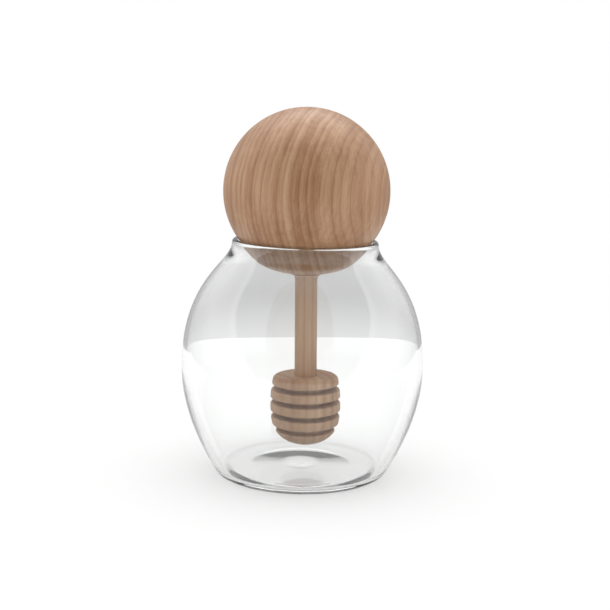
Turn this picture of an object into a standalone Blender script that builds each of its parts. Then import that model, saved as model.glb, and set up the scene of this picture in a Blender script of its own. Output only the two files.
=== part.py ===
"""Glass honey jar with a turned wooden ball stopper and a wooden honey dipper.

Three separate pieces stand on one axis: the blown glass jar, the ball that rests in
its mouth, and the dipper whose stem is seated on a flat under the ball.
Units are metres, +Z is up, and the origin is on the table under the jar's centre.
The front of the jar faces -Y.
"""

import math

import bpy
from mathutils import Matrix, Vector

MM = 0.001

# Ball stopper
BALL_RADIUS = 32.5 * MM
SEAT_RADIUS = 6.2 * MM            # flat turned under the ball for the stem
TOUCH_GAP = 0.3 * MM              # left between pieces that touch

# Jar, outer surface
MOUTH_RADIUS = 28.7 * MM
LIP_THICKNESS = 2.6 * MM          # the rim is melted round, thicker than the wall
LIP_HEIGHT = 92.2 * MM            # centre of the lip's round section
BELLY_RADIUS = 47.8 * MM
BELLY_HEIGHT = 42.8 * MM
NECK_HANDLE = 8.8 * MM            # how far the neck runs straight down from the lip
SHOULDER_HANDLE = 35.1 * MM       # how far the belly runs straight up
UNDER_BELLY_HANDLE = 8.0 * MM
LOWER_WALL_HANDLE = 22.7 * MM
FOOT_RADIUS = 31.1 * MM           # where the round heel meets the table
HEEL_RADIUS = 3.9 * MM
HEEL_SLOPE = math.radians(31.0)   # lean of the lower wall where the heel starts

# Jar, glass thickness and bottom
WALL = 1.6 * MM
LOWER_WALL = 2.3 * MM
FLOOR_HEIGHT = 3.1 * MM           # inner floor over the foot ring
FLOOR_FLAT_RADIUS = 26.0 * MM
INNER_HEEL_HANDLE = 5.0 * MM
BUTTON_RADIUS = 5.0 * MM          # low button at the middle of the inner floor
BUTTON_RISE = 0.5 * MM
BUTTON_TROUGH_RADIUS = 9.0 * MM   # shallow ring round the button
RING_INNER_RADIUS = 21.0 * MM     # the flat foot ring ends here
PUNT_RISE = 1.1 * MM              # the underside is pushed up at the middle

# The hand-drawn neck leans a little towards +X
NECK_LEAN = math.radians(0.5)

# Dipper
STEM_RADIUS = 4.4 * MM
STEM_FLARE_RADIUS = 5.8 * MM      # foot of the flare, against the ball
STEM_FLARE_LENGTH = 4.2 * MM
HEAD_TOP = 39.3 * MM              # heights over the table
HEAD_BOTTOM = 10.9 * MM
HEAD_RADIUS = 14.0 * MM
HEAD_WIDEST = 28.3 * MM
SHOULDER_DROP = 1.35 * MM         # loss of radius at the top disc
DISC_COUNT = 5
DISC_PITCH = 5.66 * MM
GROOVE_HEIGHT = 2.1 * MM
FIRST_GROOVE_TOP = 35.9 * MM
GROOVE_RADIUS = 8.6 * MM
DISC_EDGE = 0.8 * MM              # rounding of the discs' edges
TOP_EDGE = 1.9 * MM               # softer rounding on the top disc
DOME_START = 18.0 * MM            # below this the last disc turns into a dome
STOPPER_LEAN = math.radians(-0.6)

JAR_SIDES = 60
BALL_SIDES = 48
DIPPER_SIDES = 40


def clear_scene():
    """Remove what the file holds, so that the script can be run again."""
    for obj in list(bpy.data.objects):
        bpy.data.objects.remove(obj, do_unlink=True)
    for group in list(bpy.data.collections):
        bpy.data.collections.remove(group)


def make_collection(name):
    """Add a collection to the scene."""
    group = bpy.data.collections.new(name)
    bpy.context.scene.collection.children.link(group)
    return group


def make_material(name, colour, roughness, transmission=0.0, ior=1.5):
    """A Principled material with one plain colour."""
    mat = bpy.data.materials.new(name)
    mat.use_nodes = True
    shader = mat.node_tree.nodes["Principled BSDF"]
    shader.inputs["Base Color"].default_value = (*colour, 1.0)
    shader.inputs["Roughness"].default_value = roughness
    shader.inputs["Metallic"].default_value = 0.0
    shader.inputs["Transmission Weight"].default_value = transmission
    shader.inputs["IOR"].default_value = ior
    return mat


def smooth(t):
    """Ease from 0 to 1, level at both ends."""
    t = min(max(t, 0.0), 1.0)
    return t * t * (3.0 - 2.0 * t)


def bezier(start, start_handle, end_handle, end, steps):
    """Points of a cubic curve, with both ends."""
    points = []
    for i in range(steps + 1):
        t = i / steps
        u = 1.0 - t
        points.append(
            start * u ** 3
            + start_handle * (3.0 * u * u * t)
            + end_handle * (3.0 * u * t * t)
            + end * t ** 3
        )
    return points


def arc(centre, radius, start, end, steps):
    """Points of an arc from one angle to another, with both ends."""
    points = []
    for i in range(steps + 1):
        angle = start + (end - start) * i / steps
        points.append(centre + Vector((math.cos(angle), math.sin(angle))) * radius)
    return points


def inward(points, thickness):
    """Move a wall's points in by a thickness that may change along it."""
    moved = []
    last = len(points) - 1
    for i, point in enumerate(points):
        along = points[min(i + 1, last)] - points[max(i - 1, 0)]
        along.normalize()
        moved.append(point + Vector((along.y, -along.x)) * thickness(i / last))
    return moved


def turn(name, profile, sides, group, mat):
    """Turn a profile, given as (radius, height), into a closed mesh object."""
    outline = bpy.data.meshes.new(name + "_profile")
    verts = [(p.x, 0.0, p.y) for p in profile]
    outline.from_pydata(verts, [(i, i + 1) for i in range(len(verts) - 1)], [])
    blank = bpy.data.objects.new(name + "_blank", outline)
    group.objects.link(blank)
    screw = blank.modifiers.new("Turn", "SCREW")
    screw.axis = "Z"
    screw.angle = math.tau
    screw.steps = sides
    screw.render_steps = sides
    screw.use_merge_vertices = True
    screw.merge_threshold = 0.00001
    depsgraph = bpy.context.evaluated_depsgraph_get()
    mesh = bpy.data.meshes.new_from_object(blank.evaluated_get(depsgraph))
    bpy.data.objects.remove(blank, do_unlink=True)
    bpy.data.meshes.remove(outline)
    mesh.name = name
    mesh.materials.clear()
    mesh.materials.append(mat)
    mesh.shade_smooth()
    mesh.set_sharp_from_angle(angle=math.radians(50.0))
    obj = bpy.data.objects.new(name, mesh)
    group.objects.link(obj)
    return obj


def jar_profile():
    """Section of the jar: from the inner floor up the inside, over the lip, down and under."""
    lip_side = Vector((MOUTH_RADIUS, LIP_HEIGHT))
    belly = Vector((BELLY_RADIUS, BELLY_HEIGHT))
    up_the_wall = Vector((math.sin(HEEL_SLOPE), math.cos(HEEL_SLOPE)))
    out_of_the_wall = Vector((up_the_wall.y, -up_the_wall.x))
    heel_centre = Vector((FOOT_RADIUS, HEEL_RADIUS))
    heel_start = heel_centre + out_of_the_wall * HEEL_RADIUS

    upper = bezier(
        lip_side,
        lip_side - Vector((0.0, NECK_HANDLE)),
        belly + Vector((0.0, SHOULDER_HANDLE)),
        belly,
        14,
    )
    lower = bezier(
        belly,
        belly - Vector((0.0, UNDER_BELLY_HANDLE)),
        heel_start + up_the_wall * LOWER_WALL_HANDLE,
        heel_start,
        7,
    )
    heel = arc(heel_centre, HEEL_RADIUS, -HEEL_SLOPE, -math.pi / 2.0, 4)
    underside = [
        Vector((RING_INNER_RADIUS, 0.0)),
        Vector((RING_INNER_RADIUS * 0.72, PUNT_RISE * 0.4)),
        Vector((RING_INNER_RADIUS * 0.4, PUNT_RISE * 0.85)),
        Vector((0.0, PUNT_RISE)),
    ]

    def upper_thickness(t):
        return WALL + (LIP_THICKNESS - WALL) * (1.0 - smooth(t / 0.3))

    def lower_thickness(t):
        return WALL + (LOWER_WALL - WALL) * smooth(t)

    inner_upper = inward(upper, upper_thickness)
    inner_lower = inward(lower, lower_thickness)[:-1]
    wall_end = inner_lower[-1]
    down_the_wall = (wall_end - inner_lower[-2]).normalized()
    floor_edge = Vector((FLOOR_FLAT_RADIUS, FLOOR_HEIGHT))
    inner_heel = bezier(
        wall_end,
        wall_end + down_the_wall * INNER_HEEL_HANDLE,
        floor_edge + Vector((INNER_HEEL_HANDLE, 0.0)),
        floor_edge,
        5,
    )
    floor = [
        Vector((BUTTON_TROUGH_RADIUS, FLOOR_HEIGHT)),
        Vector((BUTTON_RADIUS, FLOOR_HEIGHT + BUTTON_RISE * 0.7)),
        Vector((0.0, FLOOR_HEIGHT + BUTTON_RISE)),
    ]
    inside = inner_upper + inner_lower[1:] + inner_heel[1:] + floor
    inside.reverse()
    lip_centre = lip_side - Vector((LIP_THICKNESS / 2.0, 0.0))
    lip = arc(lip_centre, LIP_THICKNESS / 2.0, math.pi, 0.0, 6)[1:-1]
    return inside + lip + upper + lower[1:] + heel[1:] + underside


def lean_neck(mesh):
    """Lean the wall above the belly, more and more up to the neck."""
    pivot = Matrix.Translation((0.0, 0.0, BELLY_HEIGHT))
    for vert in mesh.vertices:
        share = smooth((vert.co.z - BELLY_HEIGHT) / (LIP_HEIGHT - BELLY_HEIGHT))
        turn_part = Matrix.Rotation(NECK_LEAN * share, 4, "Y")
        vert.co = pivot @ turn_part @ pivot.inverted() @ vert.co
    mesh.update()


def ball_centre():
    """Where the ball comes to rest on the round lip, with the gap between them."""
    lip_round = LIP_THICKNESS / 2.0
    reach = BALL_RADIUS + lip_round + TOUCH_GAP
    rise = math.sqrt(reach ** 2 - (MOUTH_RADIUS - lip_round) ** 2)
    over_belly = Vector((0.0, 0.0, LIP_HEIGHT - BELLY_HEIGHT + rise))
    over_belly.rotate(Matrix.Rotation(NECK_LEAN, 3, "Y"))
    return Vector((0.0, 0.0, BELLY_HEIGHT)) + over_belly


def ball_profile():
    """Section of the ball about its own centre, from the top to the seat's flat."""
    seat_angle = -math.acos(SEAT_RADIUS / BALL_RADIUS)
    side = arc(Vector((0.0, 0.0)), BALL_RADIUS, math.pi / 2.0, seat_angle, 22)
    side[0].x = 0.0
    return side + [Vector((0.0, side[-1].y))]


def head_radius(height):
    """Outer radius of the ribbed head: a slight barrel that ends in a dome."""
    if height >= HEAD_WIDEST:
        t = (height - HEAD_WIDEST) / (HEAD_TOP - HEAD_WIDEST)
        return HEAD_RADIUS - SHOULDER_DROP * t * t
    t = (HEAD_WIDEST - height) / (HEAD_WIDEST - HEAD_BOTTOM)
    return HEAD_RADIUS * (1.0 - min(t, 1.0) ** 3.6) ** 0.5


def disc_section(top, bottom, top_edge, bottom_edge):
    """Edge of one disc from its top face round to its bottom face."""
    points = []
    quarter = math.pi / 2.0
    upper_side = head_radius(top - top_edge)
    centre = Vector((upper_side - top_edge, top - top_edge))
    points += arc(centre, top_edge, quarter, 0.0, 3)
    lower_side = head_radius(bottom + bottom_edge)
    centre = Vector((lower_side - bottom_edge, bottom + bottom_edge))
    points += arc(centre, bottom_edge, 0.0, -quarter, 2)
    return points


def dipper_profile(joint_height):
    """Section of the dipper from the joint with the ball down to the end of the head."""
    flare_end = Vector((STEM_RADIUS, joint_height - STEM_FLARE_LENGTH))
    stem = [Vector((0.0, joint_height))]
    stem += bezier(
        Vector((STEM_FLARE_RADIUS, joint_height)),
        Vector((STEM_RADIUS, joint_height - STEM_FLARE_LENGTH * 0.25)),
        Vector((STEM_RADIUS, joint_height - STEM_FLARE_LENGTH * 0.5)),
        flare_end,
        5,
    )
    stem.append(Vector((STEM_RADIUS, HEAD_TOP)))

    head = []
    for disc in range(DISC_COUNT - 1):
        top = HEAD_TOP
        if disc > 0:
            top = FIRST_GROOVE_TOP - DISC_PITCH * (disc - 1) - GROOVE_HEIGHT
        groove_top = FIRST_GROOVE_TOP - DISC_PITCH * disc
        top_edge = TOP_EDGE if disc == 0 else DISC_EDGE
        head += disc_section(top, groove_top, top_edge, DISC_EDGE * 0.5)
        head.append(Vector((GROOVE_RADIUS, groove_top)))
        head.append(Vector((GROOVE_RADIUS, groove_top - GROOVE_HEIGHT)))

    last_top = head[-1].y
    side = head_radius(last_top - DISC_EDGE)
    centre = Vector((side - DISC_EDGE, last_top - DISC_EDGE))
    head += arc(centre, DISC_EDGE, math.pi / 2.0, 0.0, 3)
    dome_steps = 7
    dome_top = last_top - DISC_EDGE
    for i in range(1, dome_steps + 1):
        drop = math.sin(math.pi / 2.0 * i / dome_steps)
        height = dome_top - (dome_top - HEAD_BOTTOM) * drop
        head.append(Vector((head_radius(height), height)))
    head[-1].x = 0.0
    return stem + head


def build():
    """Make the jar and the stopper with its dipper."""
    clear_scene()
    parts = make_collection("Honey jar")

    glass = make_material("clear_glass", (0.96, 0.98, 0.97), 0.03, 1.0, 1.47)
    ball_wood = make_material("ball_wood", (0.58, 0.36, 0.22), 0.5)
    dipper_wood = make_material("dipper_wood", (0.62, 0.42, 0.28), 0.55)

    jar = turn("glass_jar", jar_profile(), JAR_SIDES, parts, glass)
    lean_neck(jar.data)

    centre = ball_centre()
    stopper = bpy.data.objects.new("stopper", None)
    parts.objects.link(stopper)
    stopper.location = centre
    stopper.rotation_euler = (0.0, STOPPER_LEAN, 0.0)

    ball = turn("ball_stopper", ball_profile(), BALL_SIDES, parts, ball_wood)
    ball.parent = stopper

    seat_height = centre.z - math.sqrt(BALL_RADIUS ** 2 - SEAT_RADIUS ** 2)
    profile = dipper_profile(seat_height - TOUCH_GAP)
    dipper = turn("honey_dipper", profile, DIPPER_SIDES, parts, dipper_wood)
    dipper.parent = stopper
    dipper.location = (0.0, 0.0, -centre.z)


build()
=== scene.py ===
"""Looks of the glass honey jar: a blown glass jar, a turned wooden ball and a wooden dipper.

The sections follow the jar as it is put together: glass, ball, dipper, and then the
table, the light and the camera of the studio. Units are metres, +Z is up, and the
front of the jar faces -Y.
"""

import math

import bpy
from mathutils import Matrix, Vector


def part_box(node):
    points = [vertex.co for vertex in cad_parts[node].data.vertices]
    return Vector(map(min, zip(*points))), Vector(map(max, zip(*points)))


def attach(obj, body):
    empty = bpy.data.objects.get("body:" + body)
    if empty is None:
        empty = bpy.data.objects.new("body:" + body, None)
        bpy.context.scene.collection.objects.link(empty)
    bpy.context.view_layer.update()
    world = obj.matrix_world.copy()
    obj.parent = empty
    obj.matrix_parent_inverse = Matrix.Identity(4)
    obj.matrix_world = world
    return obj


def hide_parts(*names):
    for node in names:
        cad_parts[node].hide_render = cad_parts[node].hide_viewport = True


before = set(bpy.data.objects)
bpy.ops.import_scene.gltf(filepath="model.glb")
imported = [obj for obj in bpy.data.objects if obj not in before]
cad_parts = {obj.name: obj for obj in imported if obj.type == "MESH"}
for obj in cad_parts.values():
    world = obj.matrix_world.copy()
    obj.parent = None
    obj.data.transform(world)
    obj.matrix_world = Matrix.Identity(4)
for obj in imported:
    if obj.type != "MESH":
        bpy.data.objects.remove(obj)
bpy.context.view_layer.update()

MM = 0.001


# Glass jar
# A round jar of clear glass, blown by hand and standing on a flat foot. Its wall is thin,
# the lip is melted round, and the heel and the bottom are thicker than the wall.

jar_low, jar_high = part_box("glass_jar")

MOUTH_RADIUS = 28.7 * MM
LIP_THICKNESS = 2.6 * MM
LIP_HEIGHT = 92.2 * MM
BELLY_RADIUS = (jar_high.y - jar_low.y) / 2.0
BELLY_HEIGHT = 42.8 * MM
NECK_HANDLE = 8.8 * MM
SHOULDER_HANDLE = 35.1 * MM
UNDER_BELLY_HANDLE = 8.0 * MM
LOWER_WALL_HANDLE = 22.7 * MM
FOOT_RADIUS = 31.1 * MM
HEEL_RADIUS = 3.9 * MM
HEEL_SLOPE = math.radians(31.0)
WALL = 1.6 * MM
LOWER_WALL = 2.3 * MM
FLOOR_HEIGHT = 3.1 * MM
FLOOR_FLAT_RADIUS = 26.0 * MM
INNER_HEEL_HANDLE = 5.0 * MM
BUTTON_RADIUS = 5.0 * MM
BUTTON_RISE = 0.5 * MM
BUTTON_TROUGH_RADIUS = 9.0 * MM
RING_INNER_RADIUS = 21.0 * MM
PUNT_RISE = 1.1 * MM
PUNT_EDGE_REACH = 0.75           # where the underside bends, as shares of the ring's radius
PUNT_TOP_REACH = 0.4
PUNT_EDGE_RISE = 0.35            # share of the punt's rise reached at its edge
LIP_SHARE = 0.3                  # share of the upper wall over which the lip thins out
NECK_LEAN = math.radians(0.5)
GLASS_SIDES = 240
MERGE_DISTANCE = 0.001 * MM
LIP_SHARP_ANGLE = math.radians(60.0)


def smooth(t):
    """Ease from 0 to 1, level at both ends."""
    t = min(max(t, 0.0), 1.0)
    return t * t * (3.0 - 2.0 * t)


def bezier(start, start_handle, end_handle, end, steps):
    """Points of a cubic curve, with both ends."""
    points = []
    for i in range(steps + 1):
        t = i / steps
        u = 1.0 - t
        points.append(
            start * u ** 3
            + start_handle * (3.0 * u * u * t)
            + end_handle * (3.0 * u * t * t)
            + end * t ** 3
        )
    return points


def arc(centre, radius, start, end, steps):
    """Points of an arc from one angle to another, with both ends."""
    points = []
    for i in range(steps + 1):
        angle = start + (end - start) * i / steps
        points.append(centre + Vector((math.cos(angle), math.sin(angle))) * radius)
    return points


def inward(points, thickness):
    """Move a wall's points in by a thickness that may change along it."""
    moved = []
    last = len(points) - 1
    for i, point in enumerate(points):
        along = points[min(i + 1, last)] - points[max(i - 1, 0)]
        along.normalize()
        moved.append(point + Vector((along.y, -along.x)) * thickness(i / last))
    return moved


def turn(name, profile, sides, sharp_angle):
    """Turn a profile of (radius, height) points into a closed, smooth piece."""
    outline = bpy.data.meshes.new(name + "_profile")
    verts = [(p.x, 0.0, p.y) for p in profile]
    outline.from_pydata(verts, [(i, i + 1) for i in range(len(verts) - 1)], [])
    blank = bpy.data.objects.new(name + "_blank", outline)
    bpy.context.scene.collection.objects.link(blank)
    screw = blank.modifiers.new("Turn", "SCREW")
    screw.axis = "Z"
    screw.angle = math.tau
    screw.steps = sides
    screw.render_steps = sides
    screw.use_merge_vertices = True
    screw.merge_threshold = MERGE_DISTANCE
    depsgraph = bpy.context.evaluated_depsgraph_get()
    mesh = bpy.data.meshes.new_from_object(blank.evaluated_get(depsgraph))
    bpy.data.objects.remove(blank, do_unlink=True)
    bpy.data.meshes.remove(outline)
    mesh.name = name
    mesh.shade_smooth()
    mesh.set_sharp_from_angle(angle=sharp_angle)
    piece = bpy.data.objects.new(name, mesh)
    bpy.context.scene.collection.objects.link(piece)
    return piece


def jar_profile():
    """Section of the jar: up the inside from the floor, over the lip, down and under."""
    lip_side = Vector((MOUTH_RADIUS, LIP_HEIGHT))
    belly = Vector((BELLY_RADIUS, BELLY_HEIGHT))
    up_the_wall = Vector((math.sin(HEEL_SLOPE), math.cos(HEEL_SLOPE)))
    out_of_the_wall = Vector((up_the_wall.y, -up_the_wall.x))
    heel_centre = Vector((FOOT_RADIUS, HEEL_RADIUS))
    heel_start = heel_centre + out_of_the_wall * HEEL_RADIUS

    upper = bezier(
        lip_side,
        lip_side - Vector((0.0, NECK_HANDLE)),
        belly + Vector((0.0, SHOULDER_HANDLE)),
        belly,
        48,
    )
    lower = bezier(
        belly,
        belly - Vector((0.0, UNDER_BELLY_HANDLE)),
        heel_start + up_the_wall * LOWER_WALL_HANDLE,
        heel_start,
        30,
    )
    heel = arc(heel_centre, HEEL_RADIUS, -HEEL_SLOPE, -math.pi / 2.0, 14)
    underside = bezier(
        Vector((RING_INNER_RADIUS, 0.0)),
        Vector((RING_INNER_RADIUS * PUNT_EDGE_REACH, PUNT_RISE * PUNT_EDGE_RISE)),
        Vector((RING_INNER_RADIUS * PUNT_TOP_REACH, PUNT_RISE)),
        Vector((0.0, PUNT_RISE)),
        12,
    )

    def upper_thickness(t):
        return WALL + (LIP_THICKNESS - WALL) * (1.0 - smooth(t / LIP_SHARE))

    def lower_thickness(t):
        return WALL + (LOWER_WALL - WALL) * smooth(t)

    inner_upper = inward(upper, upper_thickness)
    inner_lower = inward(lower, lower_thickness)[:-1]
    wall_end = inner_lower[-1]
    down_the_wall = (wall_end - inner_lower[-2]).normalized()
    floor_edge = Vector((FLOOR_FLAT_RADIUS, FLOOR_HEIGHT))
    inner_heel = bezier(
        wall_end,
        wall_end + down_the_wall * INNER_HEEL_HANDLE,
        floor_edge + Vector((INNER_HEEL_HANDLE, 0.0)),
        floor_edge,
        16,
    )
    floor = bezier(
        Vector((BUTTON_TROUGH_RADIUS, FLOOR_HEIGHT)),
        Vector((BUTTON_RADIUS, FLOOR_HEIGHT)),
        Vector((BUTTON_RADIUS, FLOOR_HEIGHT + BUTTON_RISE)),
        Vector((0.0, FLOOR_HEIGHT + BUTTON_RISE)),
        14,
    )
    inside = inner_upper + inner_lower[1:] + inner_heel[1:] + floor
    inside.reverse()
    lip_centre = lip_side - Vector((LIP_THICKNESS / 2.0, 0.0))
    lip = arc(lip_centre, LIP_THICKNESS / 2.0, math.pi, 0.0, 20)[1:-1]
    return inside + lip + upper + lower[1:] + heel[1:] + underside


def lean_neck(mesh):
    """Lean the wall above the belly, more and more up to the neck."""
    pivot = Matrix.Translation((0.0, 0.0, BELLY_HEIGHT))
    for vert in mesh.vertices:
        share = smooth((vert.co.z - BELLY_HEIGHT) / (LIP_HEIGHT - BELLY_HEIGHT))
        lean = Matrix.Rotation(NECK_LEAN * share, 4, "Y")
        vert.co = pivot @ lean @ pivot.inverted() @ vert.co
    mesh.update()


def put(tree, kind, inputs=None, **settings):
    """Add a node. An input given as another node's output is linked to it."""
    node = tree.nodes.new(kind)
    for name, value in settings.items():
        setattr(node, name, value)
    for name, value in (inputs or {}).items():
        if isinstance(value, bpy.types.NodeSocket):
            tree.links.new(value, node.inputs[name])
        else:
            node.inputs[name].default_value = value
    return node


def clear_glass():
    """Clear glass with a faint green tint where it is seen edge on."""
    mat = bpy.data.materials.new("clear_glass")
    mat.use_nodes = True
    tree = mat.node_tree
    shader = tree.nodes["Principled BSDF"]
    shader.inputs["Base Color"].default_value = (0.985, 0.992, 0.987, 1.0)
    shader.inputs["Roughness"].default_value = 0.0
    shader.inputs["IOR"].default_value = 1.47
    shader.inputs["Transmission Weight"].default_value = 1.0
    return mat


jar = turn("blown_jar", jar_profile(), GLASS_SIDES, LIP_SHARP_ANGLE)
lean_neck(jar.data)
jar.data.materials.append(clear_glass())
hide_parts("glass_jar")
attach(jar, "root")


# Ball stopper
# A ball turned from one block of pale hardwood, sanded and left satin. It rests on the lip
# by its weight, and has a small flat underneath where the dipper's stem is fixed.

ball_low, ball_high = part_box("ball_stopper")

BALL_RADIUS = (ball_high.y - ball_low.y) / 2.0
BALL_CENTRE = Vector(((ball_low.x + ball_high.x) / 2.0, 0.0, ball_high.z - BALL_RADIUS))
SEAT_RADIUS = 6.2 * MM
STOPPER_LEAN = math.radians(-0.6)
BALL_STEPS = 110
BALL_SIDES = 160
BALL_SHARP_ANGLE = math.radians(50.0)


def reckon(tree, operation, *values):
    """One step of arithmetic on numbers or outputs."""
    return put(tree, "ShaderNodeMath", dict(enumerate(values)), operation=operation).outputs[0]


def move(tree, operation, first, second):
    """One step of arithmetic on vectors."""
    inputs = {0: first, ("Scale" if operation == "SCALE" else 1): second}
    return put(tree, "ShaderNodeVectorMath", inputs, operation=operation).outputs["Vector"]


def ramp(tree, value, stops, interpolation="LINEAR"):
    """Map a value from 0 to 1 to greys or colours, given as (place, tone) pairs."""
    node = put(tree, "ShaderNodeValToRGB", {"Fac": value})
    band = node.color_ramp
    band.interpolation = interpolation
    while len(band.elements) < len(stops):
        band.elements.new(0.5)
    for element, (place, tone) in zip(band.elements, stops):
        element.position = place
        colour = tone if isinstance(tone, tuple) else (tone, tone, tone)
        element.color = (*colour, 1.0)
    return node.outputs["Color"]


def speckle(tree, point, scale, detail=2.0, roughness=0.5):
    """Smooth noise from 0 to 1."""
    inputs = {"Vector": point, "Scale": scale, "Detail": detail, "Roughness": roughness}
    return put(tree, "ShaderNodeTexNoise", inputs).outputs["Fac"]


def turned_wood(name, pith, lean, ring_width, dark, middle, light, sheen):
    """Hardwood with growth rings round a pith line, fine fibres and short pores.

    The pith and the ring width are in millimetres, and noise scales are per millimetre. A
    small third factor draws the noise out along the grain.
    """
    mat = bpy.data.materials.new(name)
    mat.use_nodes = True
    tree = mat.node_tree
    shader = tree.nodes["Principled BSDF"]
    place = put(tree, "ShaderNodeTexCoord").outputs["Object"]
    in_mm = move(tree, "SCALE", place, 1.0 / MM)
    wander = speckle(tree, move(tree, "MULTIPLY", in_mm, (1.0, 1.0, 0.45)), 0.035, 2.0)
    grain = put(
        tree,
        "ShaderNodeMapping",
        {"Vector": in_mm, "Location": pith, "Rotation": lean},
        vector_type="TEXTURE",
    ).outputs["Vector"]
    across = move(tree, "MULTIPLY", grain, (1.0, 1.0, 0.0))
    radius = put(tree, "ShaderNodeVectorMath", {0: across}, operation="LENGTH").outputs["Value"]
    wavy = reckon(tree, "MULTIPLY_ADD", reckon(tree, "SUBTRACT", wander, 0.5), 5.0, radius)

    age = reckon(tree, "DIVIDE", wavy, ring_width)
    years = put(
        tree,
        "ShaderNodeTexNoise",
        {"W": age, "Scale": 0.42, "Detail": 3.0, "Roughness": 0.6},
        noise_dimensions="1D",
    ).outputs["Fac"]
    uneven = reckon(tree, "MULTIPLY_ADD", years, 1.6, age)
    season = reckon(tree, "FRACT", uneven)
    latewood = ramp(tree, season, [(0.0, 0.25), (0.45, 0.0), (0.8, 0.35), (0.93, 1.0), (1.0, 0.3)])

    fibres = speckle(tree, move(tree, "MULTIPLY", grain, (1.0, 1.0, 0.05)), 2.2, 3.0, 0.6)
    streaks = speckle(tree, move(tree, "MULTIPLY", grain, (1.0, 1.0, 0.03)), 0.55, 2.0, 0.5)
    pores = speckle(tree, move(tree, "MULTIPLY", grain, (1.0, 1.0, 0.12)), 3.5, 1.0, 0.4)
    pore = ramp(tree, pores, [(0.66, 0.0), (0.74, 1.0)])
    patches = speckle(tree, move(tree, "MULTIPLY", grain, (1.0, 1.0, 0.35)), 0.09, 1.0, 0.4)

    tone = reckon(tree, "MULTIPLY_ADD", years, 1.1, -0.05)
    tone = reckon(tree, "MULTIPLY_ADD", latewood, -0.3, tone)
    tone = reckon(tree, "MULTIPLY_ADD", reckon(tree, "SUBTRACT", fibres, 0.5), 0.35, tone)
    tone = reckon(tree, "MULTIPLY_ADD", reckon(tree, "SUBTRACT", streaks, 0.5), 0.5, tone)
    tone = reckon(tree, "MULTIPLY_ADD", reckon(tree, "SUBTRACT", patches, 0.5), 0.7, tone)
    tone = reckon(tree, "MULTIPLY_ADD", pore, -0.16, tone)
    colour = ramp(tree, tone, [(0.05, dark), (0.5, middle), (0.95, light)], "B_SPLINE")
    tree.links.new(colour, shader.inputs["Base Color"])

    rough = reckon(tree, "MULTIPLY_ADD", tone, -0.08, sheen)
    tree.links.new(rough, shader.inputs["Roughness"])
    relief = reckon(tree, "MULTIPLY_ADD", pore, -0.8, fibres)
    bump = put(tree, "ShaderNodeBump", {"Height": relief, "Strength": 0.25, "Distance": 0.03 * MM})
    tree.links.new(bump.outputs["Normal"], shader.inputs["Normal"])
    return mat


seat_angle = -math.acos(SEAT_RADIUS / BALL_RADIUS)
ball_section = arc(Vector((0.0, 0.0)), BALL_RADIUS, math.pi / 2.0, seat_angle, BALL_STEPS)
ball_section[0].x = 0.0
ball_section.append(Vector((0.0, ball_section[-1].y)))
ball = turn("turned_ball", ball_section, BALL_SIDES, BALL_SHARP_ANGLE)
ball.data.transform(Matrix.Rotation(STOPPER_LEAN, 4, "Y"))
ball.location = BALL_CENTRE
ball.data.materials.append(
    turned_wood(
        "ball_wood",
        pith=(-46.5, -2.0, 0.0),
        lean=(math.radians(-7.6), math.radians(4.9), 0.0),
        ring_width=2.6,
        dark=(0.27, 0.115, 0.045),
        middle=(0.42, 0.225, 0.115),
        light=(0.58, 0.38, 0.24),
        sheen=0.48,
    )
)
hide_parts("ball_stopper")
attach(ball, "root")


# Honey dipper
# One piece of pale hardwood turned between centres: a thin stem that flares against the ball,
# and a ribbed head of five discs. The grooves are cut with a narrow tool and stay darker.

STEM_RADIUS = 4.4 * MM
STEM_FLARE_RADIUS = 5.8 * MM
STEM_FLARE_LENGTH = 4.2 * MM
FLARE_START = 0.25               # shares of the flare's length that shape its curve
FLARE_END = 0.5
HEAD_TOP = 39.3 * MM
HEAD_BOTTOM = 10.9 * MM
HEAD_RADIUS = 14.0 * MM
HEAD_WIDEST = 28.3 * MM
SHOULDER_DROP = 1.35 * MM
HEAD_ROUNDNESS = 3.6             # the higher, the squarer the head's lower end
DISC_COUNT = 5
DISC_PITCH = 5.66 * MM
GROOVE_HEIGHT = 2.1 * MM
FIRST_GROOVE_TOP = 35.9 * MM
GROOVE_RADIUS = 8.6 * MM
DISC_EDGE = 0.8 * MM
TOP_EDGE = 1.9 * MM
UNDER_EDGE = DISC_EDGE * 0.5
TOUCH_GAP = 0.3 * MM
DOME_STEPS = 24
DIPPER_SIDES = 128
DIPPER_SHARP_ANGLE = math.radians(40.0)


def head_radius(height):
    """Outer radius of the ribbed head: a slight barrel that ends in a dome."""
    if height >= HEAD_WIDEST:
        t = (height - HEAD_WIDEST) / (HEAD_TOP - HEAD_WIDEST)
        return HEAD_RADIUS - SHOULDER_DROP * t * t
    t = (HEAD_WIDEST - height) / (HEAD_WIDEST - HEAD_BOTTOM)
    return HEAD_RADIUS * math.sqrt(1.0 - min(t, 1.0) ** HEAD_ROUNDNESS)


def disc_section(top, bottom, top_edge, bottom_edge):
    """Edge of one disc from its top face round to its bottom face."""
    quarter = math.pi / 2.0
    upper_side = head_radius(top - top_edge)
    upper_centre = Vector((upper_side - top_edge, top - top_edge))
    lower_side = head_radius(bottom + bottom_edge)
    lower_centre = Vector((lower_side - bottom_edge, bottom + bottom_edge))
    upper_edge = arc(upper_centre, top_edge, quarter, 0.0, 8)
    return upper_edge + arc(lower_centre, bottom_edge, 0.0, -quarter, 6)


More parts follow.
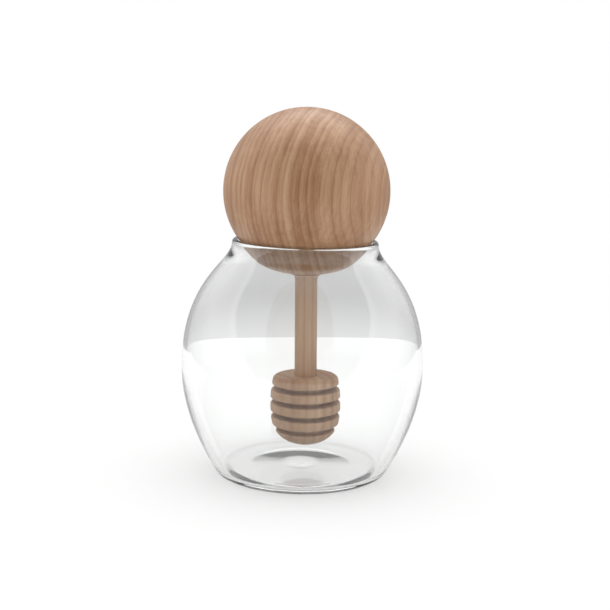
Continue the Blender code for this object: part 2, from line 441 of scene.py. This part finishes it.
def dipper_profile(joint_height):
    """Section of the dipper from the joint with the ball down to the end of the head."""
    flare_end = Vector((STEM_RADIUS, joint_height - STEM_FLARE_LENGTH))
    stem = [Vector((0.0, joint_height))]
    stem += bezier(
        Vector((STEM_FLARE_RADIUS, joint_height)),
        Vector((STEM_RADIUS, joint_height - STEM_FLARE_LENGTH * FLARE_START)),
        Vector((STEM_RADIUS, joint_height - STEM_FLARE_LENGTH * FLARE_END)),
        flare_end,
        12,
    )
    stem.append(Vector((STEM_RADIUS, HEAD_TOP)))

    head = []
    for disc in range(DISC_COUNT - 1):
        top = HEAD_TOP
        if disc > 0:
            top = FIRST_GROOVE_TOP - DISC_PITCH * (disc - 1) - GROOVE_HEIGHT
        groove_top = FIRST_GROOVE_TOP - DISC_PITCH * disc
        top_edge = TOP_EDGE if disc == 0 else DISC_EDGE
        head += disc_section(top, groove_top, top_edge, UNDER_EDGE)
        head.append(Vector((GROOVE_RADIUS, groove_top)))
        head.append(Vector((GROOVE_RADIUS, groove_top - GROOVE_HEIGHT)))

    last_top = head[-1].y
    dome_top = last_top - DISC_EDGE
    edge_centre = Vector((head_radius(dome_top) - DISC_EDGE, dome_top))
    head += arc(edge_centre, DISC_EDGE, math.pi / 2.0, 0.0, 8)
    for i in range(1, DOME_STEPS + 1):
        drop = math.sin(math.pi / 2.0 * i / DOME_STEPS)
        height = dome_top - (dome_top - HEAD_BOTTOM) * drop
        head.append(Vector((head_radius(height), height)))
    head[-1].x = 0.0
    return stem + head


seat_height = BALL_CENTRE.z - math.sqrt(BALL_RADIUS ** 2 - SEAT_RADIUS ** 2)
section = [
    Vector((point.x, point.y - BALL_CENTRE.z))
    for point in dipper_profile(seat_height - TOUCH_GAP)
]
dipper = turn("ribbed_dipper", section, DIPPER_SIDES, DIPPER_SHARP_ANGLE)
dipper.data.transform(Matrix.Rotation(STOPPER_LEAN, 4, "Y"))
dipper.location = BALL_CENTRE
dipper.data.materials.append(
    turned_wood(
        "dipper_wood",
        pith=(-30.0, -14.0, 0.0),
        lean=(0.0, 0.0, 0.0),
        ring_width=3.1,
        dark=(0.36, 0.19, 0.10),
        middle=(0.50, 0.31, 0.185),
        light=(0.64, 0.45, 0.30),
        sheen=0.6,
    )
)
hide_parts("honey_dipper")
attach(dipper, "root")


# Table
# The matt white board that the jar stands on, lit in part from below, which keeps the shadow
# pale. Its far edge shows through the glass as the line between board and background.

TABLE_BACK = 271.0 * MM
TABLE_DEPTH = 620.0 * MM
TABLE_HALF_WIDTH = 330.0 * MM
TABLE_TURN = math.radians(5.0)
TABLE_CLEARANCE = 0.05 * MM      # keeps the glass foot from lying in the board's own face

table_mesh = bpy.data.meshes.new("table")
corners = [
    Vector((x, y, 0.0))
    for x, y in (
        (-TABLE_HALF_WIDTH, -TABLE_DEPTH),
        (TABLE_HALF_WIDTH, -TABLE_DEPTH),
        (TABLE_HALF_WIDTH, 0.0),
        (-TABLE_HALF_WIDTH, 0.0),
    )
]
table_mesh.from_pydata(corners, [], [(0, 1, 2, 3)])
table = bpy.data.objects.new("table", table_mesh)
bpy.context.scene.collection.objects.link(table)
table.location = (0.0, TABLE_BACK, -TABLE_CLEARANCE)
table.rotation_euler = (0.0, 0.0, TABLE_TURN)
board = bpy.data.materials.new("matt_board")
board.use_nodes = True
board_shader = board.node_tree.nodes["Principled BSDF"]
board_shader.inputs["Base Color"].default_value = (0.5, 0.5, 0.5, 1.0)
board_shader.inputs["Emission Color"].default_value = (1.0, 1.0, 1.0, 1.0)
board_shader.inputs["Emission Strength"].default_value = 0.5
board_shader.inputs["Roughness"].default_value = 0.9
board_shader.inputs["Specular IOR Level"].default_value = 0.0
table_mesh.materials.append(board)


# Light
# A white tent lit softly from above, open towards the front, where the room is dark. What
# shows through the glass is a plain pale grey, and what the lens sees directly is white.

world = bpy.data.worlds.new("light_tent")
bpy.context.scene.world = world
world.use_nodes = True
world.cycles.sampling_method = "NONE"
sky = world.node_tree
background = sky.nodes["Background"]
direction = put(sky, "ShaderNodeTexCoord").outputs["Generated"]


def blend(share, first, second, way="MIX"):
    """Blend two brightnesses."""
    inputs = {0: share, 6: first, 7: second}
    return put(sky, "ShaderNodeMix", inputs, data_type="RGBA", blend_type=way).outputs[2]


def nearness(elevation, stops):
    """Brightness by nearness to an axis in the upright plane through the lens.

    The axis points to the front and up by its elevation, so 90 degrees is overhead and
    more leans to the back. Stops are (cosine of the angle from the axis, brightness).
    """
    axis = (0.0, -math.cos(elevation), math.sin(elevation))
    along = put(sky, "ShaderNodeVectorMath", {0: direction, 1: axis}, operation="DOT_PRODUCT")
    place = reckon(sky, "MULTIPLY_ADD", along.outputs["Value"], 0.5, 0.5)
    brightest = max(tone for cosine, tone in stops)
    shares = [((cosine + 1.0) / 2.0, tone / brightest) for cosine, tone in stops]
    return blend(1.0, ramp(sky, place, shares), (brightest, brightest, brightest, 1.0), "MULTIPLY")


OVERHEAD = math.radians(90.0)
FRONT = 0.0
DARK_FRONT = math.radians(43.5)
BEHIND_ZENITH = math.radians(110.0)

dome = nearness(OVERHEAD, [(-1.0, 0.9), (0.0, 0.9), (0.4, 1.05), (1.0, 1.35)])
room = nearness(FRONT, [(0.0, 1.0), (0.9, 0.72)])
for_matt = blend(1.0, dome, room, "MULTIPLY")

# The dark front of the room is a cone round an axis halfway up, with a bright strip at its rim.
walls = nearness(
    DARK_FRONT,
    [
        (-1.0, 0.5), (-0.5, 0.55), (-0.3, 0.8), (-0.05, 1.6), (0.3, 1.7),
        (0.36, 2.4), (0.42, 2.4), (0.46, 0.3), (1.0, 0.2),
    ],
)
ceiling = nearness(
    BEHIND_ZENITH,
    [(0.0, 0.0), (0.62, 0.0), (0.72, 0.8), (0.80, 1.6), (0.88, 3.2), (1.0, 3.5)],
)
for_gloss = blend(1.0, walls, ceiling, "LIGHTEN")

behind_glass = nearness(
    OVERHEAD,
    [
        (-0.22, 0.84), (-0.199, 0.80), (-0.182, 0.70), (-0.165, 0.60), (-0.148, 0.55),
        (0.0, 0.6), (0.3, 1.1), (1.0, 1.4),
    ],
)
rays = put(sky, "ShaderNodeLightPath").outputs
light = blend(rays["Is Glossy Ray"], for_matt, for_gloss)
light = blend(rays["Is Transmission Ray"], light, behind_glass)
light = blend(rays["Is Camera Ray"], light, (1.0, 1.0, 1.0, 1.0))
sky.links.new(light, background.inputs["Color"])


# Camera
# The studio camera in front of the jar, with a long lens. It looks down on the jar a little.

CAMERA_PLACE = Vector((0.0, -549.05, 166.52)) * MM
CAMERA_DOWN = math.radians(10.221)
CAMERA_ASIDE = math.radians(0.072)
CAMERA_ROLL = math.radians(1.0)
CAMERA_LENS = 83.5
SENSOR_WIDTH = 36.0

camera_data = bpy.data.cameras.new("camera")
camera_data.sensor_width = SENSOR_WIDTH
camera_data.lens = CAMERA_LENS
camera_data.clip_start = 0.01
camera_data.clip_end = 20.0
camera = bpy.data.objects.new("camera", camera_data)
bpy.context.scene.collection.objects.link(camera)
camera.matrix_world = (
    Matrix.Translation(CAMERA_PLACE)
    @ Matrix.Rotation(-CAMERA_ASIDE, 4, "Z")
    @ Matrix.Rotation(math.pi / 2.0 - CAMERA_DOWN, 4, "X")
    @ Matrix.Rotation(CAMERA_ROLL, 4, "Z")
)
bpy.context.scene.camera = camera
bpy.context.scene.view_settings.view_transform = "Standard"
